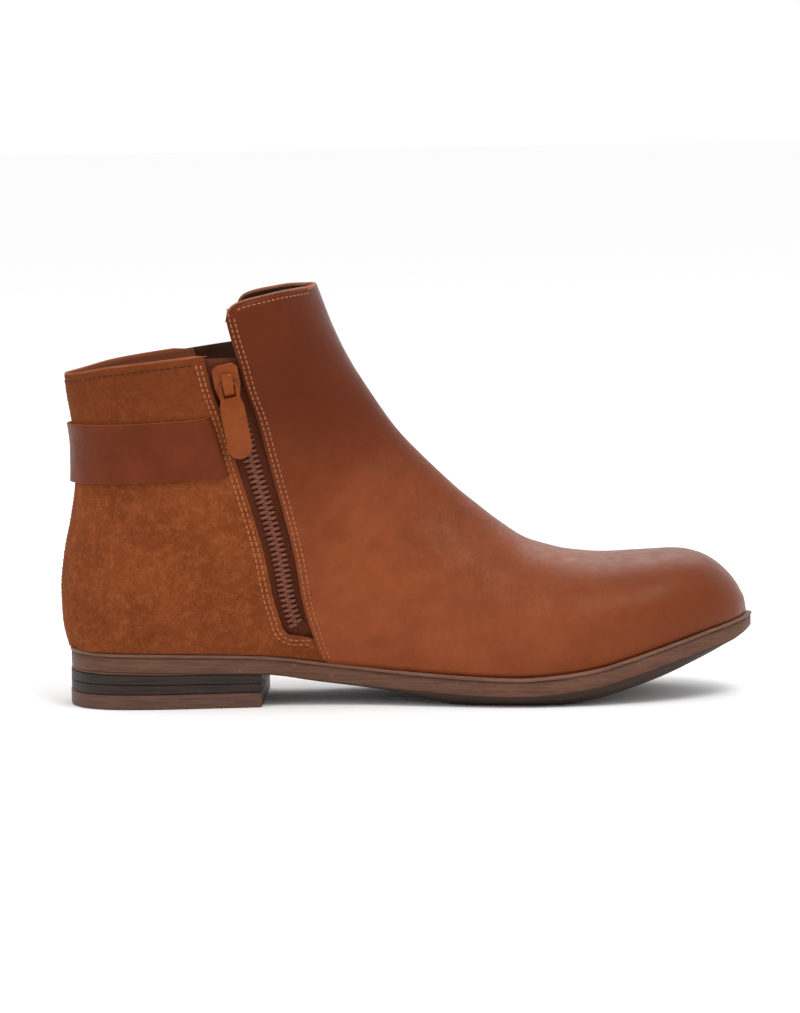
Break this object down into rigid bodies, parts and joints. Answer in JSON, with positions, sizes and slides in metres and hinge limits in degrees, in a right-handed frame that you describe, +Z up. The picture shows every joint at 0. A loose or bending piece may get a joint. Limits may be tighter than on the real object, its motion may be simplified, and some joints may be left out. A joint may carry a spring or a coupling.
{
  "type": "flat ankle boot",
  "caption": "Left flat ankle boot with a smooth front panel, suede quarters, a side zip with a swinging pull, a buckled ankle strap and a low stacked heel.",
  "frame": {"origin": "on the floor under the middle of the heel", "axes": "X from heel to toe, Y to the outer side with the buckle, Z up"},
  "size_m": [0.269, 0.0923, 0.1607],
  "materials": {
    "panel_leather": "smooth tan-brown leather with a soft gloss; the quarters are the same solid and are suede in the look",
    "outsole_edge": "brown leather-look sole unit, satin",
    "heel_dark": "near-black brown stacked lifts, matt",
    "heel_brown": "dull brown top piece",
    "footbed": "plain brown footbed",
    "zip_fabric": "woven dark brown tape",
    "zip_coil": "nylon coil",
    "slider_paint": "glossy brown paint",
    "strap_leather": "smooth strap leather with raw edges",
    "antique_brass": "worn antique brass"
  },
  "bodies": {
    "boot": {"outsole": "outsole_edge", "heel_lift_upper": "heel_dark", "heel_lift_lower": "heel_dark", "heel_top_piece": "heel_brown", "insole": "footbed", "upper": "panel_leather", "zip_tape": "zip_fabric", "zip_teeth": "zip_coil", "zip_slider": "slider_paint", "strap_back": "strap_leather", "strap_front": "strap_leather", "buckle_frame": "antique_brass", "buckle_prong": "antique_brass", "strap_keeper": "antique_brass"},
    "zip_pull": {"zip_pull": "slider_paint"}
  },
  "joints": [
    {"name": "zip_pull_swing", "type": "hinge", "parent": "boot", "child": "zip_pull", "pos_m": [0.02831, -0.03759, 0.12576], "axis": [-0.9758, -0.1364, -0.1709], "range_deg": [0, 150]}
  ]
}
